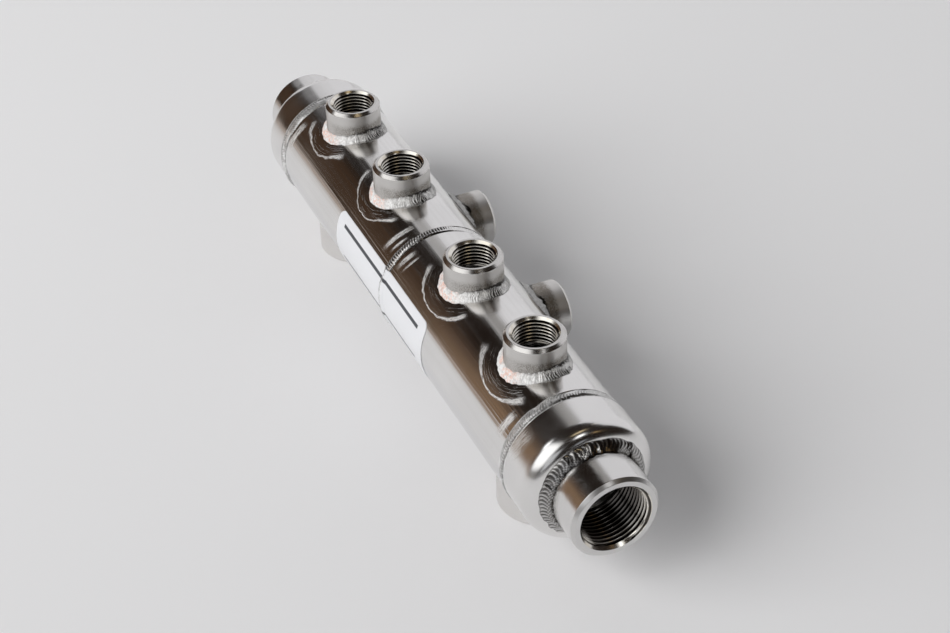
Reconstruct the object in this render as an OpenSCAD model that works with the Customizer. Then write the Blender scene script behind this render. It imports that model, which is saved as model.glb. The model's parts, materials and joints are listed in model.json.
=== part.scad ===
// Rack coolant manifold: a welded stainless steel header in two chambers.
//
// The shell is two lengths of tube, butt welded in the middle over a divider disc and closed
// by a dished cap at each end. Threaded half couplings are welded on: a large one in each
// cap, a large one under each half, and a row of small ones along the top and one side.
//
// Frame: the origin is the centre of the first end coupling's mouth, +X runs along the shell,
// +Z points out of the top couplings and +Y out of the side couplings. The manifold stands
// on the faces of its two bottom couplings.

/* [Shell] */
// Outside diameter of the shell tube
shell_od = 60.3; // [56:0.1:76]
// Wall of the shell tube and of the end caps
shell_wall = 2.8; // [2:0.1:4]
// Length of the shell, from the middle of one cap weld to the middle of the other
shell_length = 274; // [266:1:500]
// Thickness of the disc that divides the shell into two chambers
divider_thickness = 3; // [2:0.1:5]
// How far the divider's rim lies below the shell's outside
divider_cover = 1.6; // [1:0.1:1.9]

/* [End caps] */
// Height of a cap, from the middle of its weld to its flat face
cap_height = 25.3; // [20:0.1:40]
// Radius of the cap's outer shoulder
cap_shoulder = 7.5; // [4.5:0.1:9]
// How far the cap's skirt stands proud of the shell tube
cap_swell = 0.5; // [0.2:0.1:1]

/* [Large couplings] */
// Outside diameter of the end and bottom couplings
large_od = 40.8; // [38:0.1:42]
// Hole through them, at the crests of the thread
large_bore = 29.8; // [26:0.1:31]
// Diameter of the countersink at the mouth
large_mouth = 33.2; // [31.2:0.1:34.5]
// How far an end coupling stands out of its cap
end_stand = 21.8; // [16:0.1:40]
// How far a bottom coupling stands out below the shell
bottom_stand = 15.7; // [12:0.1:40]
// Space between a bottom coupling's wall and the middle of the cap weld beside it
bottom_inset = 4; // [3.5:0.1:20]

/* [Small couplings] */
// Outside diameter of the top and side couplings
small_od = 27.6; // [25:0.1:29]
// Hole through them, at the crests of the thread
small_bore = 18.6; // [16:0.1:20]
// Diameter of the countersink at the mouth
small_mouth = 22.3; // [20.2:0.1:23.2]
// How far a small coupling stands out above the shell
small_stand = 13.7; // [10:0.1:40]
// Distance between the two top couplings on either side of the middle weld
top_gap = 85.5; // [70:0.5:100]
// Distance from the middle of each cap weld to the middle of the outer top coupling beside it
top_inset = 29.75; // [25:0.05:60]
// Distance between the two side couplings
side_gap = 85.5; // [70:0.5:160]

/* [Coupling edges] */
// Chamfer round the outside of each mouth
mouth_chamfer = 1.5; // [0.5:0.1:1.6]
// Clearance round an end coupling in its hole in the cap
cap_hole_clearance = 0.1; // [0.05:0.05:0.3]
// How much wider the shell's hole under a coupling is than the coupling's own hole
branch_hole_extra = 1; // [0.5:0.1:3]

/* [Welds] */
// Width of the middle weld over the shell
mid_weld_width = 5; // [4:0.1:8]
// Height of the middle weld's crown
mid_weld_crown = 0.6; // [0.3:0.1:1]
// Width of each cap weld
cap_weld_width = 6; // [4:0.1:6.4]
// Height of each cap weld's crown
cap_weld_crown = 0.9; // [0.4:0.1:1.5]
// Width of the root of a cap weld, at the inside of the shell
cap_weld_root = 1; // [0.5:0.1:2]
// Leg of the fillet welds round the end couplings
end_weld_leg = 4.6; // [3:0.1:5]
// Leg of the fillet welds round the bottom couplings
bottom_weld_leg = 4.2; // [3:0.1:5]
// Leg of the fillet welds round the small couplings
small_weld_leg = 3.7; // [2.5:0.1:4.5]
// How far a fillet weld bulges beyond a flat face
fillet_bulge = 0.6; // [0.2:0.1:1]

/* [Label] */
// Length of the label along the shell
label_length = 107.5; // [60:0.5:110]
// Height of the label, measured round the shell
label_height = 34; // [20:0.5:36]
// Thickness of the label
label_thickness = 0.2; // [0.1:0.05:0.5]
// Radius of the label's corners
label_corner = 4; // [1:0.5:8]
// How far the label's middle lies from the middle weld, towards the second end if positive
label_offset = -4.7; // [-20:0.1:20]

/* [Hidden] */

// Smoothness of round faces
$fn = 144;
// Overrun that lets one solid cut cleanly through another
overrun = 1;

shell_r = shell_od / 2;
cap_r = shell_r + cap_swell;
overall_length = shell_length + 2 * (cap_height + end_stand);
mid_x = overall_length / 2;
// Places of the two cap welds
weld_a_x = mid_x - shell_length / 2;
weld_b_x = mid_x + shell_length / 2;
// Places of the couplings along the shell
top_x = [weld_a_x + top_inset, mid_x - top_gap / 2, mid_x + top_gap / 2, weld_b_x - top_inset];
side_x = [for (d = [-side_gap / 2, side_gap / 2]) mid_x + d];
bottom_x = [for (s = [-1, 1]) mid_x + s * (shell_length / 2 - bottom_inset - large_od / 2)];
// Turns about the shell's axis that bring +Z to the top, the side and the bottom
up = 0;
sideways = -90;
down = 180;
// Distance from the shell's axis to each mouth
small_reach = shell_r + small_stand;
bottom_reach = shell_r + bottom_stand;
// Rings and mesh of a fillet weld on the shell: steps round the coupling and steps over its face
bead_steps = 60;
face_steps = 4;
// How deep a fillet weld starts inside the metal, before the metal is cut away from it,
// and how thick its toe is
bead_root = 0.8;
bead_toe = 0.25;

steel = [0.78, 0.78, 0.79];
turned_steel = [0.72, 0.72, 0.73];
weld_steel = [0.86, 0.85, 0.84];
label_white = [0.96, 0.96, 0.97];

// ---- Shapes that the sub-parts share ----

// Turns a section about the shell's axis. In the section, x is the radius and y runs along +X.
module revolve_on_shell(x) translate([x, 0, 0]) rotate([0, 90, 0]) rotate_extrude() children();

// A plain round bar on the shell's axis, from x1 to x2
module bar(x1, x2, r) translate([x1, 0, 0]) rotate([0, 90, 0]) cylinder(h = x2 - x1, r = r);

// Carries a shape that stands on +Z to a place along the shell and turns it about the axis
module at_port(x, turn) translate([x, 0, 0]) rotate([turn, 0, 0]) children();

// Carries a shape for the first end to the second one, or leaves it at the first
module at_end(second) {
    if (second) translate([overall_length, 0, 0]) mirror([1, 0, 0]) children();
    else children();
}

// A half coupling on +Z with its mouth at z = 0: chamfered rim, countersink and plain bore
module half_coupling(od, bore, mouth, length) {
    rotate_extrude() polygon([
        [bore / 2, -length], [od / 2, -length], [od / 2, -mouth_chamfer],
        [od / 2 - mouth_chamfer, 0], [mouth / 2, 0], [bore / 2, -(mouth - bore) / 2]]);
}

// A half coupling whose foot is cut to sit on the shell
module saddled_coupling(od, bore, mouth, reach) {
    foot = sqrt(pow(shell_r, 2) - pow(od / 2, 2)) - overrun;
    difference() {
        translate([0, 0, reach]) half_coupling(od, bore, mouth, reach - foot);
        bar(-od, od, shell_r);
    }
}

// The bulged face of a weld: the part of a circle that stands beyond the line from a to b
module crown(a, b, rise) {
    chord = norm(b - a);
    out = [b[1] - a[1], a[0] - b[0]] / chord;
    r = (pow(chord / 2, 2) + pow(rise, 2)) / (2 * rise);
    intersection() {
        translate((a + b) / 2 - out * (r - rise)) circle(r = r);
        polygon([a, b, b + out * 2 * rise, a + out * 2 * rise]);
    }
}

// The groove that a butt weld fills between the shell tube, on the -y side, and its neighbour
module groove(r1, root1, r2, root2, root_width, width) {
    polygon([[root1, -root_width / 2], [root2, root_width / 2], [r2, width / 2], [r1, -width / 2]]);
}

module mid_groove() {
    groove(shell_r, shell_r - divider_cover, shell_r, shell_r - divider_cover,
        divider_thickness, mid_weld_width);
}

module mid_crown() {
    crown([shell_r, -mid_weld_width / 2], [shell_r, mid_weld_width / 2], mid_weld_crown);
}

// The same, with its face moved out by the label's thickness
module mid_crown_with_label() {
    spread = mid_weld_width / 2 + 2 * label_thickness;
    crown([shell_r, -spread], [shell_r, spread], mid_weld_crown + label_thickness);
}

module cap_groove() {
    groove(cap_r, cap_r - shell_wall, shell_r, shell_r - shell_wall, cap_weld_root, cap_weld_width);
}

module cap_crown() crown([cap_r, -cap_weld_width / 2], [shell_r, cap_weld_width / 2], cap_weld_crown);

// Half of a dished cap's outline, filled to the axis: y = 0 is its weld and -y its face
module cap_outline(r, height, shoulder) {
    translate([0, -(height - shoulder)]) square([r, height - shoulder]);
    translate([0, -height]) square([r - shoulder, height]);
    translate([r - shoulder, -(height - shoulder)]) circle(r = shoulder);
}

// ---- A fillet weld that follows the line where a coupling meets the shell ----

// Height of the shell's surface over its axis, at a point r out from the port's axis
function shell_height(r, turn) = sqrt(pow(shell_r, 2) - pow(r * sin(turn), 2));

// The weld's leg out along the shell shortens where the shell falls away steeply
function toe_radius(rc, leg, turn) = rc + leg * shell_height(rc, turn) / shell_r;

// Corners of the weld's section at one turn, in order: root, under the toe, then over the face
function bead_section(rc, leg, turn) =
    let (rt = toe_radius(rc, leg, turn),
         toe = [rt, shell_height(rt, turn) + bead_toe],
         top = [rc - bead_root, shell_height(rc, turn) + leg],
         out = [top[1] - toe[1], toe[0] - top[0]] / norm(top - toe))
    concat(
        [[rc - bead_root, shell_height(rc, turn) - bead_root], [rt, toe[1] - bead_toe - bead_root]],
        [for (i = [0:face_steps])
            let (t = i / face_steps)
            toe + (top - toe) * t + out * fillet_bulge * 4 * t * (1 - t)]);

module saddle_bead(rc, leg) {
    corners = face_steps + 3;
    points = [for (i = [0:bead_steps - 1])
        let (turn = 360 * i / bead_steps)
        for (p = bead_section(rc, leg, turn)) [p[0] * cos(turn), p[0] * sin(turn), p[1]]];
    faces = [for (i = [0:bead_steps - 1])
        for (j = [0:corners - 1])
            let (i2 = (i + 1) % bead_steps, j2 = (j + 1) % corners,
                 a = i * corners + j, b = i * corners + j2,
                 c = i2 * corners + j2, d = i2 * corners + j)
            for (f = [[a, b, c], [a, c, d]]) f];
    polyhedron(points = points, faces = faces, convexity = 6);
}

module saddle_weld(od, leg) {
    difference() {
        saddle_bead(od / 2, leg);
        bar(-od, od, shell_r);
        cylinder(h = 2 * shell_r, r = od / 2);
    }
}

// ---- Sub-parts ----

module branch_hole(bore) cylinder(h = shell_od, d = bore + branch_hole_extra);

// One half of the shell, cut to the divider and to both weld grooves, with its branch holes
module shell_half(x1, x2, tops, side, bottom) {
    difference() {
        bar(x1, x2, shell_r);
        bar(x1 - overrun, x2 + overrun, shell_r - shell_wall);
        revolve_on_shell(mid_x) mid_groove();
        revolve_on_shell(weld_a_x) cap_groove();
        at_end(true) revolve_on_shell(weld_a_x) cap_groove();
        for (x = tops) at_port(x, up) branch_hole(small_bore);
        at_port(side, sideways) branch_hole(small_bore);
        at_port(bottom, down) branch_hole(large_bore);
    }
}

module shell_tube_a() {
    color(steel)
    shell_half(weld_a_x + cap_weld_root / 2, mid_x - divider_thickness / 2,
        [top_x[0], top_x[1]], side_x[0], bottom_x[0]);
}

module shell_tube_b() {
    color(steel)
    shell_half(mid_x + divider_thickness / 2, weld_b_x - cap_weld_root / 2,
        [top_x[2], top_x[3]], side_x[1], bottom_x[1]);
}

module divider_disc() {
    color(turned_steel)
    bar(mid_x - divider_thickness / 2, mid_x + divider_thickness / 2, shell_r - divider_cover);
}

module end_cap(second) {
    color(steel)
    at_end(second) revolve_on_shell(weld_a_x) difference() {
        cap_outline(cap_r, cap_height, cap_shoulder);
        cap_outline(cap_r - shell_wall, cap_height - shell_wall, cap_shoulder - shell_wall);
        cap_groove();
        translate([0, -cap_height - overrun])
            square([large_od / 2 + cap_hole_clearance, cap_height + overrun]);
        translate([shell_r, -cap_weld_width / 2]) square([cap_swell + overrun, cap_weld_width]);
        translate([0, -cap_weld_root / 2]) square([2 * shell_r, cap_weld_width]);
    }
}

module end_coupling(second) {
    color(turned_steel)
    at_end(second) rotate([0, -90, 0])
        half_coupling(large_od, large_bore, large_mouth, end_stand + shell_wall);
}

module small_coupling(x, turn) {
    color(turned_steel)
    at_port(x, turn) saddled_coupling(small_od, small_bore, small_mouth, small_reach);
}

module bottom_coupling(x) {
    color(turned_steel)
    at_port(x, down) saddled_coupling(large_od, large_bore, large_mouth, bottom_reach);
}

module mid_girth_weld() {
    color(weld_steel)
    revolve_on_shell(mid_x) {
        mid_groove();
        mid_crown();
    }
}

module cap_girth_weld(second) {
    color(weld_steel)
    at_end(second) revolve_on_shell(weld_a_x) {
        cap_groove();
        cap_crown();
    }
}

// Fillet in the corner between a cap's face and the end coupling that passes through it
module end_coupling_weld(second) {
    wall = large_od / 2;
    toe = [wall + end_weld_leg, -cap_height];
    top = [wall, -cap_height - end_weld_leg];
    color(weld_steel)
    at_end(second) revolve_on_shell(weld_a_x) difference() {
        union() {
            polygon([top, toe, [toe[0], toe[1] + cap_shoulder / 2], [wall, toe[1] + cap_shoulder / 2]]);
            crown(top, toe, fillet_bulge);
        }
        cap_outline(cap_r, cap_height, cap_shoulder);
    }
}

module small_weld(x, turn) {
    color(weld_steel)
    at_port(x, turn) saddle_weld(small_od, small_weld_leg);
}

// The bottom couplings stand so near the cap welds that their welds run into them
module bottom_weld(x) {
    color(weld_steel)
    difference() {
        at_port(x, down) saddle_weld(large_od, bottom_weld_leg);
        for (second = [false, true]) cap_girth_weld(second);
    }
}

// A thin curved sticker that lies on the shell's flank and rides over the middle weld
module label() {
    half_chord = shell_r * sin(label_height / 2 / shell_r * 180 / PI);
    x1 = mid_x + label_offset - label_length / 2;
    color(label_white)
    difference() {
        intersection() {
            union() {
                bar(x1 - overrun, x1 + label_length + overrun, shell_r + label_thickness);
                revolve_on_shell(mid_x) mid_crown_with_label();
            }
            rotate([90, 0, 0]) linear_extrude(height = shell_od)
                translate([x1, -half_chord]) rounded_field(label_length, 2 * half_chord);
        }
        bar(x1 - 2 * overrun, x1 + label_length + 2 * overrun, shell_r);
        revolve_on_shell(mid_x) mid_crown();
    }
}

module rounded_field(length, height) {
    translate([label_corner, 0]) square([length - 2 * label_corner, height]);
    translate([0, label_corner]) square([length, height - 2 * label_corner]);
    for (x = [label_corner, length - label_corner], y = [label_corner, height - label_corner])
        translate([x, y]) circle(r = label_corner);
}

shell_tube_a();
shell_tube_b();
divider_disc();
end_cap(false);  // end_cap_a
end_cap(true);  // end_cap_b
end_coupling(false);  // end_coupling_a
end_coupling(true);  // end_coupling_b
small_coupling(top_x[0], up);  // top_coupling_1
small_coupling(top_x[1], up);  // top_coupling_2
small_coupling(top_x[2], up);  // top_coupling_3
small_coupling(top_x[3], up);  // top_coupling_4
small_coupling(side_x[0], sideways);  // side_coupling_1
small_coupling(side_x[1], sideways);  // side_coupling_2
bottom_coupling(bottom_x[0]);  // bottom_coupling_1
bottom_coupling(bottom_x[1]);  // bottom_coupling_2
mid_girth_weld();
cap_girth_weld(false);  // cap_girth_weld_a
cap_girth_weld(true);  // cap_girth_weld_b
end_coupling_weld(false);  // end_coupling_weld_a
end_coupling_weld(true);  // end_coupling_weld_b
small_weld(top_x[0], up);  // top_weld_1
small_weld(top_x[1], up);  // top_weld_2
small_weld(top_x[2], up);  // top_weld_3
small_weld(top_x[3], up);  // top_weld_4
small_weld(side_x[0], sideways);  // side_weld_1
small_weld(side_x[1], sideways);  // side_weld_2
bottom_weld(bottom_x[0]);  // bottom_weld_1
bottom_weld(bottom_x[1]);  // bottom_weld_2
label();
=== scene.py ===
import json
import math
from collections import namedtuple
import bmesh
import bpy
import numpy as np
from mathutils import Matrix, Vector

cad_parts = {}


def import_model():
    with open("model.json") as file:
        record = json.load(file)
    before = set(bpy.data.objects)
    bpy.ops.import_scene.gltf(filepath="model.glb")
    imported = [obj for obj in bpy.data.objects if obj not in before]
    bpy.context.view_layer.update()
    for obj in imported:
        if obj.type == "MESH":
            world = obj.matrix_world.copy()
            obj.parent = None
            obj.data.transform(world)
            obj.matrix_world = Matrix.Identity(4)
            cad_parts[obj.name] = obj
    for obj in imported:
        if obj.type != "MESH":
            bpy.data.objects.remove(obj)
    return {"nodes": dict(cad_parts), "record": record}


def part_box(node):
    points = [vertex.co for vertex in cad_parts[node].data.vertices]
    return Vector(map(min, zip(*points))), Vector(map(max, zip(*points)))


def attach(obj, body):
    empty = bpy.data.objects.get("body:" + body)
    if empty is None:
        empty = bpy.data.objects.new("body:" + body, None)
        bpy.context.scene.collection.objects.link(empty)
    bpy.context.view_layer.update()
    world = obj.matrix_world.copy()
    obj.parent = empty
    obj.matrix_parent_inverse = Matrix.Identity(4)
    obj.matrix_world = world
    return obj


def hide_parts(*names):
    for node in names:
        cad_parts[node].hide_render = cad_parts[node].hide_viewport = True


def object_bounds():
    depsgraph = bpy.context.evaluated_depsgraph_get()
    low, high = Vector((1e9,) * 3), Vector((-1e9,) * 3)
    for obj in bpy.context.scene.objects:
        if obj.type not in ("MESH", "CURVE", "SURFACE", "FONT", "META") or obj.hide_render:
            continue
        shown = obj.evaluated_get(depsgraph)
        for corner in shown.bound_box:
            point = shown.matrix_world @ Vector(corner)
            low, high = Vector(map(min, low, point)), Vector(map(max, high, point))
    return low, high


# The looks of a rack coolant manifold: a polished stainless header with threaded half
# couplings, rippled welds, scuffs from its finishing, and a plain white label.
# Lengths are in metres, in the frame of the solid model. Angles that are written out are in
# degrees, and the turns of a ring's points are in radians.

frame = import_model()
solid_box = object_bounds()

MM = 0.001
FULL_TURN = 2 * math.pi

# ---------------------------------------------------------------- sizes read from the frame


def middle(node):
    low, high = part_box(node)
    return (low + high) / 2


shell_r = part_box("shell_tube_a")[1].z
cap_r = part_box("end_cap_a")[1].z
mid_x = middle("mid_girth_weld").x
cap_weld_a_x = middle("cap_girth_weld_a").x
cap_weld_b_x = middle("cap_girth_weld_b").x
floor_z = solid_box[0].z

# A port: the nodes of its coupling and its weld, the middle of its mouth, which way it faces, the
# direction that its turns are counted from, the radii of its wall, bore and countersunk mouth, the
# depth of the countersink, and whether it stands on the shell and not in a cap
Port = namedtuple("Port", "coupling weld mouth axis along wall bore flare countersink on_shell")


def read_port(mount):
    kind, number = mount["name"].split("_port_")
    on_shell = kind != "end"
    coupling_node = f"{kind}_coupling_{number}"
    weld_node = f"{kind}_weld_{number}" if on_shell else f"end_coupling_weld_{number}"
    axis = Vector(mount["axis"])
    low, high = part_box(coupling_node)
    outermost = Vector([high[i] if axis[i] > 0 else low[i] for i in range(3)])
    bore_top = Vector(mount["pos_m"])
    countersink = outermost.dot(axis) - bore_top.dot(axis)
    along = Vector((1, 0, 0)) if on_shell else Vector((0, 0, 1))
    wall = abs((high - low).dot(axis.cross(along))) / 2
    bore = mount["dims"]["r_mm"] * MM
    return Port(coupling_node, weld_node, bore_top + axis * countersink, axis, along,
                wall, bore, bore + countersink, countersink, on_shell)


ports = [read_port(m) for m in frame["record"]["mounts"] if m["kind"] == "threaded_hole"]


def on_top(port):
    return port.axis.z > 0.5


def at_side(port):
    return port.axis.y > 0.5


def below(port):
    return port.axis.z < -0.5


def stand(port):
    """The matrix that carries a shape from the port's own frame, mouth at z = 0, to its place"""
    across = port.axis.cross(port.along)
    turn = Matrix((port.along, across, port.axis)).transposed().to_4x4()
    return Matrix.Translation(port.mouth) @ turn


def placed(name, data):
    """An object in the scene that shows a mesh, a lamp or a camera"""
    made = bpy.data.objects.new(name, data)
    bpy.context.scene.collection.objects.link(made)
    return made


# ---------------------------------------------------------------- node trees as formulas


class Wire:
    """A value in a node tree that can be reckoned with like a number"""

    def __init__(self, tree, socket):
        self.tree = tree
        self.socket = socket

    def math(self, operation, *others):
        node = self.tree.nodes.new("ShaderNodeMath")
        node.operation = operation
        for socket, value in zip(node.inputs, (self, *others)):
            plug(self.tree, value, socket)
        return Wire(self.tree, node.outputs[0])

    def __add__(self, other):
        return self.math("ADD", other)

    def __sub__(self, other):
        return self.math("SUBTRACT", other)

    def __rsub__(self, other):
        return self * -1 + other

    def __mul__(self, other):
        return self.math("MULTIPLY", other)

    def __truediv__(self, other):
        return self.math("DIVIDE", other)

    __radd__ = __add__
    __rmul__ = __mul__

    def at_least(self, other):
        return self.math("MAXIMUM", other)

    def at_most(self, other):
        return self.math("MINIMUM", other)

    def size(self):
        return self.math("ABSOLUTE")

    def step(self, low, high, to_low=0.0, to_high=1.0):
        """Goes smoothly from to_low to to_high as the value goes from low to high"""
        node = self.tree.nodes.new("ShaderNodeMapRange")
        node.interpolation_type = "SMOOTHSTEP"
        for socket, value in zip(node.inputs, (self, low, high, to_low, to_high)):
            plug(self.tree, value, socket)
        return Wire(self.tree, node.outputs[0])

    def fade(self, low, high):
        """Falls smoothly from 1 to 0 as the value goes from low to high"""
        return self.step(low, high, 1.0, 0.0)


def plug(tree, value, socket):
    """Links a wire to a socket, or sets the socket to a value"""
    if isinstance(value, Wire):
        tree.links.new(value.socket, socket)
    else:
        socket.default_value = value


def add(tree, kind, outlet=0, settings=(), **inputs):
    """Adds a node, sets or links its named inputs and gives the wire of one of its outlets"""
    node = tree.nodes.new(kind)
    for key, value in dict(settings).items():
        setattr(node, key, value)
    for name, value in inputs.items():
        plug(tree, value, node.inputs[name.replace("_", " ")])
    return Wire(tree, node.outputs[outlet])


def join(tree, x, y, z):
    return add(tree, "ShaderNodeCombineXYZ", X=x, Y=y, Z=z)


def split(tree, vector):
    node = tree.nodes.new("ShaderNodeSeparateXYZ")
    plug(tree, vector, node.inputs[0])
    return [Wire(tree, socket) for socket in node.outputs]


def scaled(tree, vector, factor):
    node = tree.nodes.new("ShaderNodeVectorMath")
    node.operation = "SCALE"
    plug(tree, vector, node.inputs[0])
    plug(tree, factor, node.inputs["Scale"])
    return Wire(tree, node.outputs[0])


def noise(tree, vector, scale, detail=2.0, roughness=0.5):
    """Even noise about 0.5 at the given number of waves to a unit of the vector"""
    return add(tree, "ShaderNodeTexNoise", Vector=vector, Scale=scale, Detail=detail,
               Roughness=roughness)


def mix_colours(tree, share, first, second):
    """Goes from the first colour to the second as the share goes from 0 to 1"""
    node = tree.nodes.new("ShaderNodeMix")
    node.data_type = "RGBA"
    plug(tree, share, node.inputs[0])
    plug(tree, first, node.inputs[6])
    plug(tree, second, node.inputs[7])
    return Wire(tree, node.outputs[2])


def mix_shaders(tree, share, first, second):
    """Goes from the first shader to the second as the share goes from 0 to 1"""
    node = tree.nodes.new("ShaderNodeMixShader")
    for socket, value in zip(node.inputs, (share, first, second)):
        plug(tree, value, socket)
    return Wire(tree, node.outputs[0])


def new_group(name, kind, inputs, outputs):
    """A node group with named sockets: gives the tree, its input wires by name and its end node"""
    tree = bpy.data.node_groups.new(name, kind)
    for title, socket_type, value in inputs:
        socket = tree.interface.new_socket(title, in_out="INPUT", socket_type=socket_type)
        if value is not None:
            socket.default_value = value
    for title, socket_type in outputs:
        tree.interface.new_socket(title, in_out="OUTPUT", socket_type=socket_type)
    start = tree.nodes.new("NodeGroupInput")
    end = tree.nodes.new("NodeGroupOutput")
    wires = {socket.name: Wire(tree, socket) for socket in start.outputs if socket.name}
    return tree, wires, end


FLOAT = "NodeSocketFloat"
INTEGER = "NodeSocketInt"
VECTOR = "NodeSocketVector"
GEOMETRY = "NodeSocketGeometry"
MATERIAL = "NodeSocketMaterial"

# ---------------------------------------------------------------- geometry node trees


def stored(tree, geometry, title, value):
    """Keeps a value on each point of the geometry under a title"""
    return add(tree, "GeometryNodeStoreNamedAttribute",
               settings={"data_type": "FLOAT", "domain": "POINT"},
               Geometry=geometry, Name=title, Value=value)


def carried(tree, title):
    """Reads back what each point carries under a title"""
    return add(tree, "GeometryNodeInputNamedAttribute", "Attribute",
               settings={"data_type": "FLOAT"}, Name=title)


def shaped_and_coated(tree, end, geometry, material, **move):
    """Ends a tree: moves the points, makes instances real and sets the material"""
    shaped = add(tree, "GeometryNodeSetPosition", Geometry=geometry, **move)
    real = add(tree, "GeometryNodeRealizeInstances", Geometry=shaped)
    coated = add(tree, "GeometryNodeSetMaterial", Geometry=real, Material=material)
    plug(tree, coated, end.inputs[0])


def thread_tree():
    """A tapping thread cut into a bore: rows that climb with the helix, from the mouth's
    countersink down to a plain end. The mouth is at z = 0 and the bore runs down -Z. The result
    carries `below_mouth`, its depth, and `cut`, from 0 at the crests to 1 at the roots."""
    tree, given, end = new_group("tapped_bore", "GeometryNodeTree", [
        ("Crest Radius", FLOAT, 0.01), ("Groove Depth", FLOAT, 0.001), ("Pitch", FLOAT, 0.002),
        ("Length", FLOAT, 0.01), ("Countersink", FLOAT, 0.001), ("Segments", INTEGER, 144),
        ("Rows per Turn", INTEGER, 8), ("Material", MATERIAL, None)], [("Geometry", GEOMETRY)])
    crest_radius, pitch, length = given["Crest Radius"], given["Pitch"], given["Length"]
    rows = ((length / pitch + 1) * given["Rows per Turn"]).math("CEIL")
    grid = add(tree, "GeometryNodeMeshGrid", "Mesh",
               Vertices_X=given["Segments"] + 1, Vertices_Y=rows + 1)
    along_x, along_y, _ = split(tree, add(tree, "GeometryNodeInputPosition"))
    round_share = along_x + 0.5
    turn = (along_y + 0.5) * rows / given["Rows per Turn"]
    depth = ((turn + round_share - 1) * pitch).at_least(0.0).at_most(length)
    wave = turn.math("PINGPONG", 0.5) * 2
    # Crests and roots are flat for a tenth of the wave
    groove = (wave * 1.25 - 0.125).at_least(0.0).at_most(1.0)
    run_out = depth.fade(length - pitch * 1.5, length)
    thread = crest_radius + groove * run_out * given["Groove Depth"]
    cone = crest_radius + given["Countersink"] - depth
    radius = thread.at_least(cone)
    cut = groove * run_out * thread.math("GREATER_THAN", cone)
    angle = round_share * FULL_TURN
    place = join(tree, radius * angle.math("COSINE"), radius * angle.math("SINE"), depth * -1)
    marked = stored(tree, stored(tree, grid, "below_mouth", depth), "cut", cut)
    shaped_and_coated(tree, end, marked, given["Material"], Position=place)
    return tree


def ripple_tree():
    """Weld ripples: bowed scales that repeat along a bead and lift its face along the normals.
    The bead carries `turn`, from 0 to 1 along it, `across`, from 0 to 1 over it, `skin`, which
    is 1 on its open face and 0 where it is bedded in, `vigour`, how coarse the ripples are, and
    `crevice_shade_and_dirt`, how much painted shade, with some soiling, its edges hold. The result
    carries `groove`, which is 1 in the dips and in the crevices, where painted shade goes."""
    tree, given, end = new_group("weld_ripples", "GeometryNodeTree", [
        ("Geometry", GEOMETRY, None), ("Ripples", FLOAT, 60.0), ("Height", FLOAT, 0.0002),
        ("Bow", FLOAT, 0.8), ("Wander", FLOAT, 0.6), ("Evenness", FLOAT, 0.0),
        ("Roughness", FLOAT, 0.0001), ("Seed", FLOAT, 0.0), ("Material", MATERIAL, None)],
        [("Geometry", GEOMETRY)])
    moved = add(tree, "ShaderNodeVectorMath", settings={"operation": "ADD"},
                Vector=add(tree, "GeometryNodeInputPosition"))
    shift = join(tree, given["Seed"], given["Seed"] * 2, 0.0)
    plug(tree, shift, moved.socket.node.inputs[1])
    across = carried(tree, "across")
    skin = carried(tree, "skin")
    vigour = carried(tree, "vigour")
    sway = noise(tree, moved, 120.0) - 0.5 + (noise(tree, moved, 420.0, 3.0) - 0.5) * 1.2
    arch = across * (across * -1 + 1.35) * 4
    phase = carried(tree, "turn") * given["Ripples"] + arch * given["Bow"] + sway * given["Wander"]
    part = phase.math("FRACT")
    crest = (part / 0.75).at_most((1 - part) / 0.25)
    uneven = noise(tree, moved, 160.0).step(0.36, 0.62, 0.15, 1.0)
    strength = (uneven + (1 - uneven) * given["Evenness"]) * vigour
    fine = (noise(tree, moved, 800.0, 5.0, 0.68) - 0.5) * given["Roughness"] * 2
    lift = skin * (crest * strength * given["Height"] + fine * vigour.step(0.0, 0.5, 0.3, 1.0))
    pits = noise(tree, moved, 1300.0, 2.0).step(0.32, 0.52)
    # Painted shade in the ripples' dips, and in the crevices along the edges
    dip = crest.fade(0.08, 0.8) * strength * strength * 2.6 * skin
    groove = dip.at_most(1.0).at_least(carried(tree, "crevice_shade_and_dirt") * pits)
    marked = stored(tree, given["Geometry"], "groove", groove)
    outwards = scaled(tree, add(tree, "GeometryNodeInputNormal"), lift)
    shaped_and_coated(tree, end, marked, given["Material"], Offset=outwards)
    return tree


tapped_bore = thread_tree()
weld_ripples = ripple_tree()


def grown(mesh, tree, values):
    """Runs a geometry node tree over a mesh and gives the plain mesh that comes out"""
    carrier = placed("carrier", mesh)
    modifier = carrier.modifiers.new("nodes", "NODES")
    modifier.node_group = tree
    keys = {item.name: item.identifier for item in tree.interface.items_tree
            if item.in_out == "INPUT"}
    for title, value in values.items():
        modifier[keys[title]] = value
    bpy.context.view_layer.update()
    evaluated = carrier.evaluated_get(bpy.context.evaluated_depsgraph_get())
    result = bpy.data.meshes.new_from_object(evaluated)
    bpy.data.objects.remove(carrier)
    return result


# ---------------------------------------------------------------- meshes

# Points closer than this are one point, and edges shorter than the second are taken out
WELD_DISTANCE = 2e-6
SHORTEST_EDGE = 1e-6


def woven(rows, closed, marks):
    """A mesh from rows of points, each row a ring. Every ring is joined to the next one, and the
    last to the first if closed. marks holds a named value for each point."""
    rows = np.asarray(rows, float)
    count, around = rows.shape[:2]
    number = np.arange(count * around).reshape(count, around)
    first = number if closed else number[:-1]
    second = np.roll(number, -1, axis=0) if closed else number[1:]
    faces = np.stack([first, np.roll(first, -1, 1), np.roll(second, -1, 1), second], axis=2)
    mesh = bpy.data.meshes.new("woven")
    mesh.from_pydata(rows.reshape(-1, 3).tolist(), [], faces.reshape(-1, 4).tolist())
    for title, values in marks.items():
        values = np.broadcast_to(values, (count, around)).astype(np.float32)
        mesh.attributes.new(title, "FLOAT", "POINT").data.foreach_set("value", values.ravel())
    return mesh


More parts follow.
